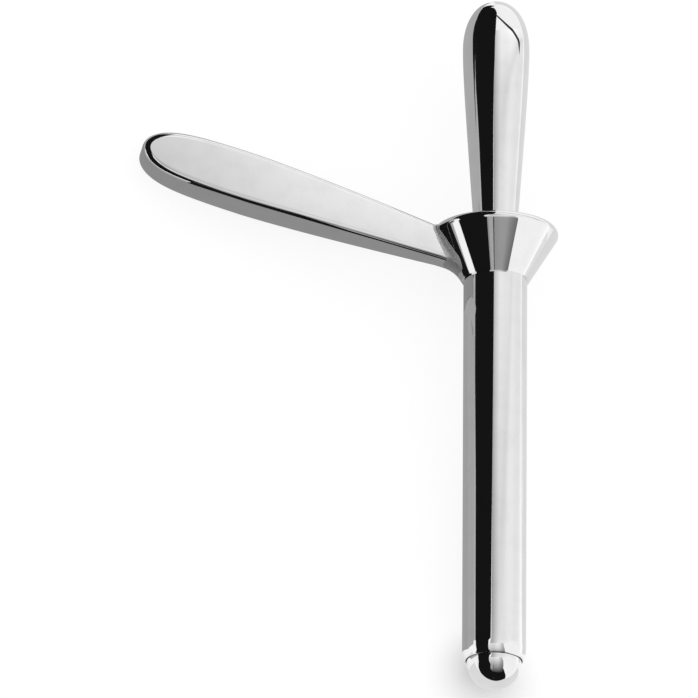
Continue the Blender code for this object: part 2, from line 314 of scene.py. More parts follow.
def swept(rows: Sequence[Sequence[Vector]]) -> bmesh.types.BMesh:
    """Extrude a closed ring of edges through rows of places.

    Args:
        rows: The ring's places at each station, all in the same order.

    Returns:
        The swept shape; the edges of its first ring come first.
    """
    shape = bmesh.new()
    ring = [shape.verts.new(place) for place in rows[0]]
    edges = [shape.edges.new(pair) for pair in zip(ring, ring[1:] + ring[:1])]
    for row in rows[1:]:
        made = bmesh.ops.extrude_edge_only(shape, edges=edges)["geom"]
        fresh = {part for part in made if isinstance(part, bmesh.types.BMVert)}
        ring = [next(e.other_vert(v) for e in v.link_edges if e.other_vert(v) in fresh) for v in ring]
        edges = [part for part in made if isinstance(part, bmesh.types.BMEdge)]
        for vert, place in zip(ring, row):
            vert.co = place
    return shape


@dataclass(frozen=True)
class Tube:
    """The working tube, with its free end turned over to a thin lip."""

    outer_r: float = 0.0110
    bore_r: float = 0.0098
    reach: float = 0.1390
    lip_run: float = 0.0046
    lip_face: float = 0.0002
    lip_fullness: float = 1.5
    top: float = 0.0037
    lip_steps: int = 40
    longest_run: float = 0.01

    def build(self, finish: SteelFinish) -> bpy.types.Object:
        """Build the tube.

        Args:
            finish: Finish of its surface.

        Returns:
            The tube's object.
        """
        lip_r = self.bore_r + self.lip_face
        lip = arc((lip_r, self.lip_run - self.reach), (self.outer_r - lip_r, self.lip_run),
                  (0.0, -math.pi / 2), self.lip_steps, self.lip_fullness)
        bore = [(self.bore_r, -self.reach), (self.bore_r, self.top)]
        profile = divided([(self.outer_r, self.top)] + lip + bore, self.longest_run)
        shape = turned(profile, True)
        return finish_piece(shape, "speculum_tube", Body.SPECULUM, finish, ["tube"])


@dataclass(frozen=True)
class Funnel:
    """The cone at the tube's mouth, with its socket, ledge and rounded rim."""

    foot_r: float = 0.0117
    socket_r: float = 0.01101
    bore_r: float = 0.0098
    socket_depth: float = 0.0040
    ledge: float = 0.0052
    rim_r: float = 0.02165
    height: float = 0.0188
    wall: float = 0.0022
    rim_round: float = 0.0020
    rim_flat: float = 0.0011
    rim_steps: int = 32
    longest_run: float = 0.002

    @property
    def round_centre(self) -> tuple[float, float]:
        """Radius and height of the centre of the rim's rounding."""
        return self.rim_r - self.rim_round, self.height - self.rim_round

    @property
    def slope(self) -> float:
        """Work out the half angle of the outer cone, tangent to the rim's rounding.

        Returns:
            The angle between the cone's side and the tube's axis.
        """
        r, z = self.round_centre
        run = r - self.foot_r
        return math.atan2(run, z) + math.asin(self.rim_round / math.hypot(run, z))

    def outer_r(self, z: float) -> float:
        """Work out the radius of the outer side, the rim's rounding included.

        Args:
            z: Height over the funnel's foot.

        Returns:
            The radius at that height.
        """
        r, centre_z = self.round_centre
        cone = self.foot_r + z * math.tan(self.slope)
        above = z - centre_z
        if above < -self.rim_round * math.sin(self.slope):
            return cone
        if above >= self.rim_round:
            return r
        return r + math.sqrt(self.rim_round**2 - above**2)

    def outer_normal(self, z: float) -> tuple[float, float]:
        """Work out which way the outer side faces.

        Args:
            z: Height over the funnel's foot.

        Returns:
            The radial and upward parts of the normal at that height.
        """
        above = z - self.round_centre[1]
        if above < -self.rim_round * math.sin(self.slope):
            return math.cos(self.slope), -math.sin(self.slope)
        up = min(above / self.rim_round, 1.0)
        return math.sqrt(1.0 - up * up), up

    def build(self, finish: SteelFinish) -> bpy.types.Object:
        """Build the funnel.

        Args:
            finish: Finish of its surface.

        Returns:
            The funnel's object.
        """
        wall_run = self.wall / math.cos(self.slope)
        inner_r = self.rim_r - self.rim_round - self.rim_flat
        mouth = (inner_r + wall_run - self.foot_r) / math.tan(self.slope)
        ledge_r = self.foot_r + self.ledge * math.tan(self.slope) - wall_run
        rim = arc(self.round_centre, (self.rim_round, self.rim_round), (math.pi / 2, -self.slope),
                  self.rim_steps)
        profile = rim + [
            (self.foot_r, 0.0),
            (self.socket_r, 0.0),
            (self.socket_r, self.socket_depth),
            (self.bore_r, self.socket_depth),
            (self.bore_r, self.ledge),
            (ledge_r, self.ledge),
            (inner_r, mouth),
            (inner_r, self.height),
        ]
        shape = turned(divided(profile, self.longest_run), True)
        return finish_piece(shape, "speculum_funnel", Body.SPECULUM, finish, ["funnel"])


@dataclass(frozen=True)
class Handle:
    """The flat club that leans out from the funnel, and the braze that joins the two."""

    funnel: Funnel
    length: float = 0.1090
    rise: float = math.radians(16.5)
    root_height: float = 0.01145
    root_width: float = 0.0109
    belly_width: float = 0.0179
    belly_from_end: float = 0.0393
    root_thickness: float = 0.0101
    belly_thickness: float = 0.0160
    end_thickness: float = 0.0139
    edge_round: float = 0.0015
    end_round: float = 0.0026
    end_round_run: float = 0.0300
    side_swell: float = 1.25
    end_fullness: float = 4.9
    crown: float = 0.00012
    braze_top: float = 0.0016
    braze_bottom: float = 0.0038
    side_stations: int = 48
    end_stations: int = 64
    face_steps: int = 20
    round_steps: int = 8
    wall_steps: int = 4
    braze_steps: int = 10
    root_sunk: float = 0.0008
    braze_sunk: float = 0.00002
    slope_step: float = 1e-5
    search: tuple[float, float] = (-0.75, 0.25)
    halvings: int = 48
    sharp: float = math.radians(60)
    braze_sharp: float = math.radians(80)

    @property
    def belly_at(self) -> float:
        """Distance from the root to the widest place."""
        return self.length - self.belly_from_end

    def half_width(self, s: float) -> float:
        """Work out half of the width.

        Args:
            s: Distance from the root.

        Returns:
            Half of the width there.
        """
        if s < self.belly_at:
            swell = 1.0 - (1.0 - max(s, 0.0) / self.belly_at) ** self.side_swell
            return (self.root_width + (self.belly_width - self.root_width) * swell) / 2
        beyond = min((s - self.belly_at) / self.belly_from_end, 1.0)
        return self.belly_width / 2 * math.sqrt(max(0.0, 1.0 - beyond**self.end_fullness))

    def half_thickness(self, s: float) -> float:
        """Work out half of the thickness.

        Args:
            s: Distance from the root.

        Returns:
            Half of the thickness there.
        """
        if s < self.belly_at:
            fullness = math.sin(math.pi / 2 * max(s, 0.0) / self.belly_at)
            return (self.root_thickness + (self.belly_thickness - self.root_thickness) * fullness) / 2
        beyond = (s - self.belly_at) / self.belly_from_end
        return (self.belly_thickness - (self.belly_thickness - self.end_thickness) * beyond**2) / 2

    def face_depth(self, s: float, w: float) -> float:
        """Return how far the slightly crowned face stands from the middle plane."""
        return self.half_thickness(s) - self.crown * (2 * w / self.belly_width) ** 2

    def rounding(self, s: float) -> float:
        """Return the radius of the edges' rounding at a distance from the root."""
        nearness = max(0.0, 1.0 - (self.length - s) / self.end_round_run)
        return self.edge_round + (self.end_round - self.edge_round) * nearness

    def outward(self, s: float) -> tuple[float, float]:
        """Work out which way the outline faces on its upper side.

        Args:
            s: Distance from the root.

        Returns:
            The parts of the outward normal along and across the handle.
        """
        if s >= self.length:
            return 1.0, 0.0
        step = min(self.slope_step, (self.length - s) / 2)
        slope = (self.half_width(s + step) - self.half_width(s - step)) / (2 * step)
        size = math.hypot(1.0, slope)
        return -slope / size, 1.0 / size

    def placed(self, s: float, y: float, w: float) -> Vector:
        """Place a point of the handle.

        Args:
            s: Distance along the handle.
            y: Distance through it from the middle plane.
            w: Distance across it from the middle line.

        Returns:
            The point in upright coordinates.
        """
        root_r = self.funnel.foot_r + self.root_height * math.tan(self.funnel.slope)
        c, sn = math.cos(self.rise), math.sin(self.rise)
        return Vector((-(root_r + s * c - w * sn), y, self.root_height + s * sn + w * c))

    def section(self) -> list[SectionPoint]:
        """List the points round one section.

        Returns:
            Each point's stretch, its share of that stretch, and its sides across and through the handle.
        """
        face = [(Stretch.FACE, -1.0 + 2.0 * i / self.face_steps) for i in range(self.face_steps + 1)]
        quarter = math.pi / 2
        turn = [(Stretch.ROUND, quarter * i / self.round_steps) for i in range(1, self.round_steps + 1)]
        wall = [(Stretch.WALL, i / self.wall_steps) for i in range(1, self.wall_steps)]
        points = [(kind, share, 1, -1) for kind, share in face]
        points += [(kind, share, 1, -1) for kind, share in turn]
        points += [(kind, share, 1, -1) for kind, share in wall]
        points += [(kind, share, 1, 1) for kind, share in reversed(turn)]
        points += [(kind, -share, 1, 1) for kind, share in face]
        points += [(kind, share, -1, 1) for kind, share in turn]
        points += [(kind, share, -1, 1) for kind, share in wall]
        points += [(kind, share, -1, -1) for kind, share in reversed(turn)]
        return points

    def surface(self, s: float, point: SectionPoint) -> Vector:
        """Place one point of the section on the surface.

        Args:
            s: Distance from the root.
            point: The point of the section.

        Returns:
            Its place in upright coordinates.
        """
        kind, share, across, through = point
        w, r = self.half_width(s), self.rounding(s)
        along_n, across_n = self.outward(s)
        if kind is Stretch.FACE:
            width = max(w - across_n * r, 0.0) * share
            s -= along_n * r
            return self.placed(s, through * self.face_depth(s, width), width)
        if kind is Stretch.ROUND:
            inset, drop = r * (1.0 - math.sin(share)), r * (1.0 - math.cos(share))
            width = max(w - across_n * inset, 0.0)
            s -= along_n * inset
            return self.placed(s, through * (self.face_depth(s, width) - drop), across * width)
        depth = (self.face_depth(s, w) - r) * (1.0 - 2.0 * share) * through
        return self.placed(s, depth, across * w)

    def reach(self, point: SectionPoint, sunk: float) -> float:
        """Find where a line of the surface meets the funnel's outside.

        Args:
            point: The point of the section that the line runs through.
            sunk: How far the funnel's outside is moved inwards first.

        Returns:
            The distance from the root.
        """
        low, high = self.search[0] * self.funnel.rim_r, self.search[1] * self.funnel.rim_r
        for _ in range(self.halvings):
            middle = (low + high) / 2
            place = self.surface(middle, point)
            if math.hypot(place.x, place.y) > self.funnel.outer_r(place.z) - sunk:
                high = middle
            else:
                low = middle
        return (low + high) / 2

    def build(self, finish: SteelFinish) -> bpy.types.Object:
        """Build the handle, its root sunk a little into the funnel's wall.

        Args:
            finish: Finish of its surface.

        Returns:
            The handle's object.
        """
        section = self.section()
        roots = [self.reach(point, self.root_sunk) for point in section]
        shares = [i / self.side_stations for i in range(self.side_stations)]
        turns = [math.pi / 2 * i / self.end_stations for i in range(self.end_stations + 1)]
        rows = [
            [self.surface(root + (self.belly_at - root) * share, p) for root, p in zip(roots, section)]
            for share in shares
        ]
        for turn in turns:
            s = self.belly_at + self.belly_from_end * math.sin(turn)
            rows.append([self.surface(s, p) for p in section])
        shape = swept(rows)
        shape.edges.ensure_lookup_table()
        bmesh.ops.contextual_create(shape, geom=shape.edges[:len(section)])
        bmesh.ops.dissolve_degenerate(shape, dist=SLIVER, edges=shape.edges)
        return finish_piece(shape, "speculum_handle", Body.SPECULUM, finish, ["handle"],
                            self.sharp)

    def braze_size(self, point: SectionPoint) -> float:
        """Work out the size of the braze, which is fullest below and slight above.

        Args:
            point: The point round the root.

        Returns:
            The braze's size there.
        """
        kind, share, across, _ = point
        lowness = -share if kind is Stretch.FACE else -across
        return self.braze_top + (self.braze_bottom - self.braze_top) * (1 + lowness) / 2

    def build_braze(self, finish: SteelFinish) -> bpy.types.Object:
        """Build the concave braze between the handle's root and the funnel.

        Args:
            finish: Finish of its surface.

        Returns:
            The braze's object.
        """
        section = self.section()
        count = len(section)
        seats = [self.reach(point, 0.0) for point in section]
        meets = [self.surface(s, point) for s, point in zip(seats, section)]
        rows = [[] for _ in range(self.braze_steps + 1)]
        for i, point in enumerate(section):
            size = self.braze_size(point)
            meet = meets[i]
            on_handle = self.surface(seats[i] + size, point)
            radial, up = self.funnel.outer_normal(meet.z)
            flat = Vector((meet.x, meet.y, 0.0)).normalized()
            normal = Vector((flat.x * radial, flat.y * radial, up))
            tangent = meets[(i + 1) % count] - meets[i - 1]
            away = tangent.cross(normal).normalized()
            centre = sum(meets, Vector()) / count
            if away.dot(meet - centre) < 0.0:
                away = -away
            on_funnel = meet + away * size
            r = self.funnel.outer_r(on_funnel.z)
            level = Vector((on_funnel.x, on_funnel.y, 0.0)).normalized() * (r - self.braze_sunk)
            on_funnel = Vector((level.x, level.y, on_funnel.z))
            for k, row in enumerate(rows):
                a = k / self.braze_steps
                row.append(on_handle * (1 - a) ** 2 + meet * 2 * a * (1 - a) + on_funnel * a * a)
        shape = swept(rows)
        return finish_piece(shape, "handle_braze", Body.SPECULUM, finish, [],
                            self.braze_sharp)


@dataclass(frozen=True)
class Obturator:
    """The obturator: domed tip, rod, stop collar and pear-shaped knob."""

    guide_r: float = 0.0095
    dome_z: float = -0.1394
    barrel: float = 0.0120
    rod_r: float = 0.0040
    rod_socket: float = 0.0090
    stop_seat: float = 0.0055
    stop_guide: float = 0.0070
    stop_flange: float = 0.0016
    stop_thickness: float = 0.0022
    chamfer: float = 0.0005
    knob_foot: float = 0.0080
    knob_top: float = 0.1026
    knob_r: float = 0.0115
    crown_length: float = 0.0175
    crown_fullness: float = 2.15
    neck_r: float = 0.0067
    taper: float = 0.0727
    rod_clearance: float = 0.00001
    dome_steps: int = 64
    crown_steps: int = 64
    side_steps: int = 80
    longest_run: float = 0.01

    def side_r(self, depth: float) -> float:
        """Work out the knob's radius along its tapering side.

        Args:
            depth: Depth below the knob's widest circle.

        Returns:
            The radius there.
        """
        whole = self.knob_top - self.crown_length - self.knob_foot
        drop = self.knob_r - self.neck_r
        soft = ((self.taper * whole) ** 2 - drop**2) / (2 * drop)
        return self.knob_r + soft - math.hypot(soft, self.taper * depth)

    def put(self, profile: Profile, closed: bool, name: str, node: str,
            finish: SteelFinish) -> bpy.types.Object:
        """Turn a profile and finish it as the piece that stands for a node."""
        shape = turned(divided(profile, self.longest_run), closed)
        return finish_piece(shape, name, Body.OBTURATOR, finish, [node])

    def build_tip(self, finish: SteelFinish) -> bpy.types.Object:
        """Build the domed tip and its barrel.

        Args:
            finish: Finish of its surface.

        Returns:
            The piece's object.
        """
        top = self.dome_z + self.barrel
        dome = arc((0.0, self.dome_z), (self.guide_r, self.guide_r), (0.0, -math.pi / 2),
                   self.dome_steps)
        profile = [(0.0, top), (self.guide_r, top)] + dome
        return self.put(profile, False, "obturator_dome", "obturator_tip", finish)

    def build_rod(self, finish: SteelFinish) -> bpy.types.Object:
        """Build the rod between the tip and the knob.

        Args:
            finish: Finish of its surface.

        Returns:
            The piece's object.
        """
        bottom, top = self.dome_z + self.barrel, self.knob_foot
        profile = [(0.0, top), (self.rod_r, top), (self.rod_r, bottom), (0.0, bottom)]
        return self.put(profile, False, "obturator_shaft", "obturator_rod", finish)

    def build_stop(self, finish: SteelFinish) -> bpy.types.Object:
        """Build the collar that stops on the funnel's ledge.

        Args:
            finish: Finish of its surface.

        Returns:
            The piece's object.
        """
        top, flange_r = self.stop_seat + self.stop_thickness, self.guide_r + self.stop_flange
        end = self.stop_seat - self.stop_guide
        inner = self.rod_r + self.rod_clearance
        profile = [
            (inner, top),
            (flange_r - self.chamfer, top),
            (flange_r, top - self.chamfer),
            (flange_r, self.stop_seat),
            (self.guide_r, self.stop_seat),
            (self.guide_r, end + self.chamfer),
            (self.guide_r - self.chamfer, end),
            (inner, end),
        ]
        return self.put(profile, True, "obturator_collar", "obturator_stop", finish)

    def build_knob(self, finish: SteelFinish) -> bpy.types.Object:
        """Build the pear-shaped knob.

        Args:
            finish: Finish of its surface.

        Returns:
            The piece's object.
        """
        crown_z = self.knob_top - self.crown_length
        whole = crown_z - self.knob_foot
        crown = arc((0.0, crown_z), (self.knob_r, self.crown_length), (math.pi / 2, 0.0),
                    self.crown_steps, self.crown_fullness)
        depths = [whole * i / self.side_steps for i in range(1, self.side_steps + 1)]
        side = [(self.side_r(depth), crown_z - depth) for depth in depths]
        profile = crown + side + [(0.0, self.knob_foot)]
        return self.put(profile, False, "obturator_grip", "obturator_knob", finish)


@dataclass(frozen=True)
class PhotoView:
    """Where the photograph was taken from, and how it is framed.

    Attributes:
        tilt: Angle of the view towards the tip, away from square to the tube.
        turn: Turn of the view about the tube, towards the handle.
        lean: Lean of the tube's axis in the picture, to the right going up.
        distance: Distance of the camera.
        pixel: Metres a pixel at the tube.
        foot: Pixel of the centre of the funnel's foot.
        frame: Width of the picture in pixels.
        sensor: Width of the sensor in millimetres.
        clip: Nearest and farthest distance that the camera sees.
    """

    tilt: float = math.radians(20.0)
    turn: float = math.radians(6.8)
    lean: float = math.radians(0.3)
    distance: float = 11.0
    pixel: float = 0.000345
    foot: tuple[float, float] = (495.35, 281.4)
    frame: int = 698
    sensor: float = 36.0
    clip: tuple[float, float] = (0.01, 200.0)

    def axes(self) -> tuple[Vector, Vector, Vector]:
        """Work out the picture's directions round the upright instrument.

        Returns:
            The picture's right and up directions and the direction to the camera.
        """
        level = Vector((-math.sin(self.turn), -math.cos(self.turn), 0.0))
        right = Vector((math.cos(self.turn), -math.sin(self.turn), 0.0))
        back = level * math.cos(self.tilt) - Vector((0.0, 0.0, math.sin(self.tilt)))
        up = level * math.sin(self.tilt) + Vector((0.0, 0.0, math.cos(self.tilt)))
        return right, up, back

    def laid_axes(self) -> tuple[Vector, Vector, Vector]:
        """Return the same three directions in the row's frame."""
        turn = LAID_DOWN.to_3x3()
        return tuple(turn @ direction for direction in self.axes())

    def build(self) -> bpy.types.Object:
        """Create the camera and make it the scene's.

        Returns:
            The camera's object.
        """
        right, up, back = self.laid_axes()
        c, s = math.cos(self.lean), math.sin(self.lean)
        right, up = right * c + up * s, up * c - right * s
        foot = LAID_DOWN @ Vector()
        across = (self.foot[0] - self.frame / 2) * self.pixel
        above = (self.frame / 2 - self.foot[1]) * self.pixel
        target = foot - right * across - up * above
        data = bpy.data.cameras.new("photo_camera")
        data.sensor_width = self.sensor
        data.lens = data.sensor_width * self.distance / (self.frame * self.pixel)
        data.clip_start, data.clip_end = self.clip
        camera = bpy.data.objects.new("photo_camera", data)
        turn = Matrix((right, up, back)).transposed().to_4x4()
        camera.matrix_world = Matrix.Translation(target + back * self.distance) @ turn
        bpy.context.scene.collection.objects.link(camera)
        bpy.context.scene.camera = camera
        return camera


def piecewise(stops: Stops, place: float) -> float:
    """Read a brightness off straight runs between stops.

    Args:
        stops: Places and their brightnesses, in order.
        place: Where to read.

    Returns:
        The brightness, which stays level before the first stop and after the last.
    """
    for (a, low), (b, high) in zip(stops, stops[1:]):
        if place < b:
            return low + (high - low) * max(0.0, place - a) / (b - a)
    return stops[-1][1]


@dataclass(frozen=True)
class Card:
    """A studio card, drawn as its outline in the picture of a mirror ball at the instrument.

    Attributes:
        name: Name of the card.
        outline: Corners on the ball, right and up, the ball's radius being 1.
        across: Brightness at places to the right on the ball.
        upward: Share of that brightness at places up the ball.
        distance: Distance from the instrument.
        step: Spacing of the cuts that bend the card round.
    """

    name: str
    outline: Outline
    across: Stops = ((0.0, DARK),)
    upward: Stops = ((0.0, 1.0),)
    distance: float = 1.2
    step: float = 0.04

    def shape(self, view: PhotoView, centre: Vector) -> bmesh.types.BMesh:
        """Cut the card out and bend it round the instrument.

        Args:
            view: The view in which the ball is seen.
            centre: The ball's place.

        Returns:
            The card's shape, with the brightness in its points.
        """
        right, up, back = view.laid_axes()
        shape = bmesh.new()
        shape.faces.new([shape.verts.new((x, y, 0.0)) for x, y in self.outline])
        for axis, stops in ((Vector((1, 0, 0)), self.across), (Vector((0, 1, 0)), self.upward)):
            places = [i * self.step for i in range(math.ceil(-1 / self.step), math.floor(1 / self.step) + 1)]
            for place in places + [stop[0] for stop in stops]:
                everything = shape.verts[:] + shape.edges[:] + shape.faces[:]
                bmesh.ops.bisect_plane(shape, geom=everything, dist=CUT_DISTANCE, plane_co=axis * place,
                                       plane_no=axis)
        bmesh.ops.triangulate(shape, faces=shape.faces, ngon_method="EAR_CLIP")
        layer = shape.verts.layers.float.new("shade")
        for vert in shape.verts:
            x, y = vert.co.x, vert.co.y
            vert[layer] = piecewise(self.across, x) * piecewise(self.upward, y)
            depth = math.sqrt(max(0.0, 1.0 - x * x - y * y))
            normal = right * x + up * y + back * depth
            vert.co = centre + (2.0 * depth * normal - back) * self.distance
        return shape


@dataclass(frozen=True)
class Sheet:
    """A flat card on or near the table.

    Attributes:
        name: Name of the card.
        corners: Its corners.
        shade: Its brightness.
    """

    name: str
    corners: Sequence[tuple[float, float, float]]
    shade: float = 0.0

    def shape(self, view: PhotoView, centre: Vector) -> bmesh.types.BMesh:
        """Cut the card out.

        Args:
            view: Not needed here, because a flat card stands where its corners say.
            centre: Not needed here either.

        Returns:
            The card's shape, with the brightness in its points.
        """
        shape = bmesh.new()
        shape.faces.new([shape.verts.new(corner) for corner in self.corners])
        bmesh.ops.triangulate(shape, faces=shape.faces, ngon_method="EAR_CLIP")
        layer = shape.verts.layers.float.new("shade")
        for vert in shape.verts:
            vert[layer] = self.shade
        return shape


def lying(outline: Outline, layer: Layer) -> list[tuple[float, float, float]]:
    """Lay an outline flat in one of the layers over the table."""
    return [(x, y, layer.value) for x, y in outline]


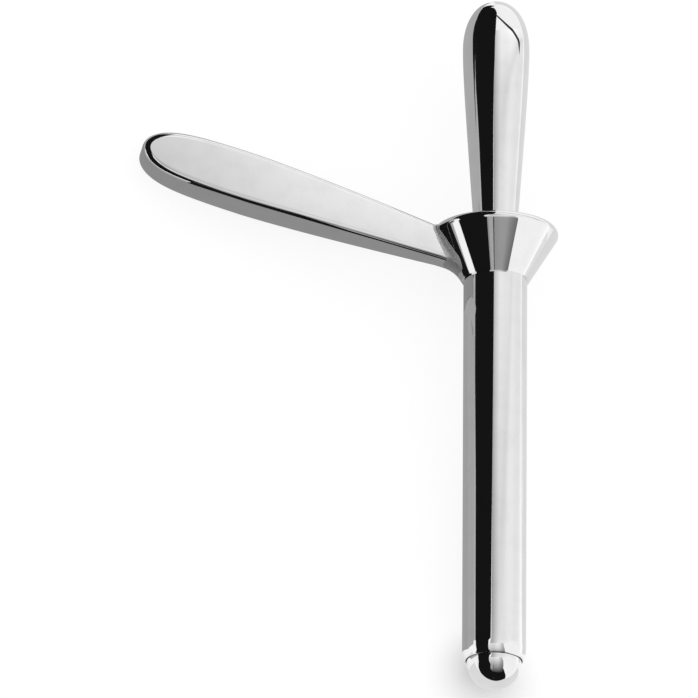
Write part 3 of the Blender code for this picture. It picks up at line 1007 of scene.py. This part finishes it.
@dataclass(frozen=True)
class Studio:
    """The pale table, the white surroundings and the cards that the steel mirrors.

    Attributes:
        view: The view that the cards are set out for.
        floor_half: Half of the table's width.
        floor_drop: How far the table lies below the instrument, so that they never share a plane.
        floor_paint: Reflectance of the table.
        floor_glow: Share of plain glow in what the camera and the steel see of the table.
        glow_strength: Strength of that glow.
        contact: Where the tip comes near the table; the glow gives way there to a true shadow.
        shadow_reach: Distances from that place at which the glow starts and is full.
        rail_start: Where the low rail's line crosses x = 0.
        rail_slope: Slope of that line.
        rail_gap: How far the grey rail stands behind the dark one.
        rail_lift: How far its top stands above the dark one's.
        rail_foot: Height below which both rails are alike.
    """

    view: PhotoView
    floor_half: float = 6.0
    floor_drop: float = 0.0001
    floor_paint: float = 0.99
    floor_glow: float = 0.8
    glow_strength: float = 1.04
    contact: tuple[float, float] = (0.0500, -0.1220)
    shadow_reach: tuple[float, float] = (0.006, 0.026)
    rail_start: float = 0.02684
    rail_slope: float = -0.266
    rail_gap: float = 0.0002
    rail_lift: float = 0.0006
    rail_foot: float = 0.01

    @staticmethod
    def card_material() -> bpy.types.Material:
        """Find or build the cards' material, which shows the shade kept in their points.

        Returns:
            The material.
        """
        found = bpy.data.materials.get("studio_card")
        if found:
            return found
        material = bpy.data.materials.new("studio_card")
        material.use_nodes = True
        nodes, links = material.node_tree.nodes, material.node_tree.links
        nodes.clear()
        shade = nodes.new("ShaderNodeAttribute")
        shade.attribute_name = "shade"
        glow = nodes.new("ShaderNodeEmission")
        out = nodes.new("ShaderNodeOutputMaterial")
        links.new(shade.outputs["Fac"], glow.inputs["Strength"])
        links.new(glow.outputs["Emission"], out.inputs["Surface"])
        return material

    def rail(self) -> list[Sheet]:
        """Set out the low rail before the handle, dark towards it and grey towards the tube.

        Returns:
            The rail's two cards.
        """
        outline = ((-0.060, 0.001), (0.034, 0.001), (0.034, 0.0212), (0.028, 0.0205), (0.0255, 0.0188),
                   (0.010, 0.0187), (-0.002, 0.0205), (-0.020, 0.028), (-0.060, 0.020))
        cards = []
        for name, back, lift, shade in (("dark_rail", 0.0, 0.0, DARK),
                                        ("grey_rail", self.rail_gap, self.rail_lift, 0.41)):
            corners = []
            for x, z in outline:
                y = self.rail_start + self.rail_slope * x - back
                corners.append((x, y, z + lift if z > self.rail_foot else z))
            cards.append(Sheet(name, corners, shade))
        return cards

    def cards(self) -> list[Card | Sheet]:
        """List the cards.

        Returns:
            The cards, the large bent ones first.
        """
        return [
            Card("dark_card", [
                (0.377, -0.60), (0.232, -0.70), (0.0, -0.72), (-0.185, -0.66), (-0.345, -0.53),
                (-0.456, -0.385), (-0.50, -0.24), (-0.54, -0.145), (-0.54, -0.02), (-0.565, 0.06),
                (-0.575, 0.147), (-0.59, 0.20), (-0.60, 0.235), (-0.66, 0.255), (-0.69, 0.30), (-0.68, 0.42),
                (-0.64, 0.56), (-0.58, 0.66), (-0.486, 0.776), (-0.40, 0.80), (-0.241, 0.815),
                (-0.083, 0.80), (-0.02, 0.76), (0.02, 0.70), (0.0, 0.60), (-0.015, 0.47), (-0.035, 0.37),
                (-0.045, 0.338), (-0.065, 0.32), (-0.09, 0.30), (-0.105, 0.28), (-0.17, 0.20), (-0.18, 0.10),
                (-0.17, 0.0), (-0.12, -0.10), (-0.12, -0.24), (-0.10, -0.30), (-0.048, -0.344),
                (0.045, -0.37), (0.142, -0.38), (0.27, -0.372), (0.302, -0.235), (0.337, -0.325),
                (0.377, -0.468),
            ]),
            Card("olive_card", [
                (-0.13, -0.10), (-0.13, -0.24), (-0.10, -0.31), (-0.048, -0.355), (0.045, -0.38),
                (0.142, -0.39), (0.28, -0.385), (0.30, -0.26), (0.315, -0.20), (0.32, -0.12), (0.325, 0.0),
                (0.28, 0.14), (0.05, 0.14), (-0.10, 0.14), (-0.17, 0.12), (-0.18, 0.0),
            ], ((-0.12, 0.9), (-0.02, 0.86), (0.08, 1.0), (0.16, 1.0), (0.23, 0.72), (0.31, 0.5)),
                ((-0.39, 0.02), (-0.33, 0.10), (-0.27, 0.21), (-0.2, 0.34), (-0.12, 0.45), (0.0, 0.70),
                 (0.14, 0.95)), 1.22),
            Card("light_strip", [
                (-0.098, -0.13), (-0.098, -0.26), (-0.036, -0.26), (-0.036, -0.13),
            ], ((0.0, 0.42),), distance=1.18),
            Card("dark_strip", [
                (-0.036, -0.13), (-0.036, -0.26), (-0.022, -0.26), (-0.022, -0.13),
            ], distance=1.18),
            Card("soft_sweep", [
                (-0.13, 0.12), (0.30, 0.11), (0.6, 0.09), (0.78, 0.02), (0.90, -0.10), (0.97, -0.18),
                (0.985, 0.0), (0.97, 0.15), (0.93, 0.30), (0.80, 0.42), (0.5, 0.46), (-0.04, 0.46),
            ], ((-0.14, 0.44), (-0.05, 0.50), (0.0, 0.64), (0.05, 0.74), (0.11, 0.87), (0.16, 0.94),
                (0.3, 0.95), (0.45, 1.03), (0.52, 1.03), (0.58, 1.01), (0.66, 0.97), (0.77, 0.97),
                (0.80, 1.06), (0.88, 1.06), (0.91, 0.95)),
                ((0.11, 1.0), (0.20, 0.90), (0.275, 0.90), (0.295, 0.80), (0.315, 0.90), (0.335, 0.98),
                 (0.38, 1.06), (0.46, 1.12)), 1.25),
            Card("thin_rod", [
                (-0.02, 0.655), (0.25, 0.525), (0.47, 0.425), (0.63, 0.315), (0.69, 0.27), (0.70, 0.29),
                (0.66, 0.335), (0.49, 0.455), (0.25, 0.56), (-0.02, 0.685),
            ], ((0.0, 0.03),), distance=1.15),
            Sheet("grey_sheet", lying([
                (0.050, 0.05), (0.050, 0.17), (-0.03, 0.20), (-0.09, 0.16), (-0.12, 0.12), (-0.16, 0.135),
                (-0.25, 0.18), (-0.35, 0.205), (-1.18, 0.52), (-1.18, 0.30), (-0.17, -0.05), (-0.14, 0.09),
                (-0.075, 0.085),
            ], Layer.PALE), 0.44),
            Sheet("grey_strip", lying([
                (0.050, -0.109), (0.050, 0.026), (0.017, 0.026), (0.017, -0.109),
            ], Layer.PALE), 0.38),
            Sheet("grey_apron", lying([
                (0.017, 0.012), (0.017, 0.0215), (-0.060, 0.042), (-0.100, 0.050), (-0.100, 0.030),
                (-0.030, 0.012),
            ], Layer.APRON), 0.42),
            Sheet("near_screen", [
                (0.018, y, z) for y, z in (
                    (-0.109, 0.0), (0.0215, 0.0), (0.0215, 0.0155), (0.010, 0.0155), (0.008, 0.0240),
                    (-0.104, 0.0165), (-0.109, 0.0160))
            ], 0.41),
            Sheet("dark_runner", lying([
                (-0.035, -0.045), (0.014, -0.045), (0.014, -0.090), (-0.035, -0.090),
            ], Layer.RUNNER), DARK),
            *self.rail(),
            Sheet("far_rail", [
                (-0.035, -0.090, 0.0), (0.014, -0.090, 0.0), (0.014, -0.090, 0.015), (-0.035, -0.090, 0.015),
            ], DARK),
            # Painted shade: a pale grey card on the table round the tip, seen only in the steel, stands in
            # for the table's shade under the tip in the dome's reflection.
            Sheet("painted_tip_shade", lying([
                (-0.020, -0.118), (0.110, -0.118), (0.110, -0.190), (0.057, -0.172), (-0.020, -0.172),
            ], Layer.PALE), 0.80),
            # Painted shadow: a grey card on the table before the handle, seen only in the steel, stands in
            # for the handle's shadow in the reflections of its lower side.
            Sheet("painted_handle_shadow", lying([
                (0.045, 0.018), (0.045, 0.040), (-0.075, 0.085), (-0.11, 0.07), (-0.09, 0.044),
            ], Layer.SHADED), 0.29),
            Sheet("dark_sheet_behind", lying([
                (0.03, 0.18), (-0.03, 0.20), (-0.09, 0.16), (-0.12, 0.12), (-0.16, 0.135), (-0.25, 0.18),
                (-0.35, 0.205), (-1.18, 0.52), (-1.1, 1.18), (0.03, 1.18),
            ], Layer.DARK), DARK),
            # Partly painted shade: a pale grey card on the table right of the instrument, seen only in the
            # steel; beside the tube it stands in for the shade where the tube lies on the table, and further
            # out it is a plain grey tone.
            Sheet("shade_and_grey_sheet_right", lying([
                (0.055, -0.108), (0.105, -0.108), (0.105, -0.03), (0.14, -0.02), (0.14, 0.05), (0.30, 0.09),
                (0.30, 0.30), (0.055, 0.30),
            ], Layer.PALE), 0.78),
            # Painted highlight: a card on the table that glows brighter than the lit table and is seen only
            # in the steel makes the bright streak along the tube's right side.
            Sheet("painted_light_pool_right", lying([
                (0.11, -0.108), (0.36, -0.108), (0.36, 0.05), (0.145, 0.04), (0.145, -0.03), (0.11, -0.04),
            ], Layer.PALE), 1.12),
            Sheet("dark_sheet_before", lying([
                (-1.18, -0.42), (-0.019, -0.171), (0.057, -0.171), (0.108, -0.191), (0.556, -0.724),
                (0.80, -1.05), (-1.1, -1.05),
            ], Layer.DARK), DARK),
            Sheet("grey_screen", [
                (-1.17, 0.28, 0.0), (-1.17, 0.62, 0.0), (-1.17, 0.62, 0.20), (-1.17, 0.28, 0.20),
            ], 0.49),
            Sheet("dark_screen_behind", [
                (-1.17, 0.62, 0.0), (-1.17, 1.18, 0.0), (-1.17, 1.18, 0.22), (-1.17, 0.62, 0.22),
            ], DARK),
        ]

    def hang(self, name: str, shape: bmesh.types.BMesh) -> None:
        """Put a card up where only mirrored light shows it.

        Args:
            name: Name of the card.
            shape: Its shape, which is freed here.
        """
        mesh = bpy.data.meshes.new(name)
        shape.to_mesh(mesh)
        shape.free()
        mesh.materials.append(self.card_material())
        card = bpy.data.objects.new(name, mesh)
        bpy.context.scene.collection.objects.link(card)
        card.visible_camera = False
        card.visible_diffuse = False
        card.visible_shadow = False

    def build(self) -> None:
        """Build the table, the surroundings and the cards."""
        world = bpy.data.worlds.new("white_surroundings")
        bpy.context.scene.world = world
        world.use_nodes = True
        world.node_tree.nodes["Background"].inputs["Color"].default_value = (1.0, 1.0, 1.0, 1.0)
        world.node_tree.nodes["Background"].inputs["Strength"].default_value = 1.0

        shape = bmesh.new()
        bmesh.ops.create_grid(shape, x_segments=1, y_segments=1, size=self.floor_half)
        mesh = bpy.data.meshes.new("table_top")
        shape.to_mesh(mesh)
        shape.free()
        floor = bpy.data.objects.new("table_top", mesh)
        floor.location.z = -self.floor_drop
        mesh.materials.append(self.floor_material())
        bpy.context.scene.collection.objects.link(floor)
        centre = LAID_DOWN @ Vector()
        for card in self.cards():
            self.hang(card.name, card.shape(self.view, centre))

    def floor_material(self) -> bpy.types.Material:
        """Build the table's material: white to the camera and in reflections, with its shadows kept.

        Returns:
            The new material.
        """
        material = bpy.data.materials.new("table_white")
        material.use_nodes = True
        nodes, links = material.node_tree.nodes, material.node_tree.links
        nodes.clear()
        path = nodes.new("ShaderNodeLightPath")
        seen = nodes.new("ShaderNodeMath")
        seen.operation = "MAXIMUM"
        links.new(path.outputs["Is Camera Ray"], seen.inputs[0])
        links.new(path.outputs["Is Glossy Ray"], seen.inputs[1])
        also = nodes.new("ShaderNodeMath")
        also.operation = "MAXIMUM"
        links.new(seen.outputs["Value"], also.inputs[0])
        links.new(path.outputs["Is Transmission Ray"], also.inputs[1])
        share = nodes.new("ShaderNodeMath")
        share.operation = "MULTIPLY"
        links.new(also.outputs["Value"], share.inputs[0])
        place = nodes.new("ShaderNodeTexCoord")
        gap = nodes.new("ShaderNodeVectorMath")
        gap.operation = "DISTANCE"
        links.new(place.outputs["Object"], gap.inputs[0])
        gap.inputs[1].default_value = (*self.contact, 0.0)
        spread = nodes.new("ShaderNodeMapRange")
        spread.interpolation_type = "SMOOTHSTEP"
        spread.inputs["From Min"].default_value = self.shadow_reach[0]
        spread.inputs["From Max"].default_value = self.shadow_reach[1]
        spread.inputs["To Min"].default_value = 0.0
        spread.inputs["To Max"].default_value = self.floor_glow
        links.new(gap.outputs["Value"], spread.inputs["Value"])
        links.new(spread.outputs["Result"], share.inputs[1])
        paint = nodes.new("ShaderNodeBsdfDiffuse")
        paint.inputs["Color"].default_value = (self.floor_paint, self.floor_paint, self.floor_paint, 1.0)
        glow = nodes.new("ShaderNodeEmission")
        glow.inputs["Strength"].default_value = self.glow_strength
        mix = nodes.new("ShaderNodeMixShader")
        out = nodes.new("ShaderNodeOutputMaterial")
        links.new(share.outputs["Value"], mix.inputs["Fac"])
        links.new(paint.outputs["BSDF"], mix.inputs[1])
        links.new(glow.outputs["Emission"], mix.inputs[2])
        links.new(mix.outputs["Shader"], out.inputs["Surface"])
        return material


def main() -> None:
    """Build the instrument, the studio and the camera."""
    logging.basicConfig(level=logging.INFO, format="%(name)s %(message)s")
    bpy.context.scene.view_settings.view_transform = "Standard"
    turned_steel = SteelFinish("turned_steel", ripple=0.000004)
    worked_steel = SteelFinish("worked_steel", ripple=0.000012, ripple_scale=45.0)
    brazed_steel = SteelFinish("brazed_steel", colour=(0.94, 0.94, 0.94, 1.0),
                               hazed_colour=(0.90, 0.90, 0.90, 1.0), roughness=(0.58, 0.68), ripple=0.000003,
                               line_height=0.0)
    inner_steel = SteelFinish("inner_steel", roughness=(0.16, 0.26), ripple=0.000002)

    funnel = Funnel()
    handle = Handle(funnel)
    obturator = Obturator()
    Tube().build(turned_steel)
    funnel.build(worked_steel)
    handle.build(worked_steel)
    handle.build_braze(brazed_steel)
    obturator.build_tip(turned_steel)
    obturator.build_rod(inner_steel)
    obturator.build_stop(inner_steel)
    obturator.build_knob(turned_steel)

    view = PhotoView()
    view.build()
    Studio(view).build()


if __name__ == "__main__":
    main()
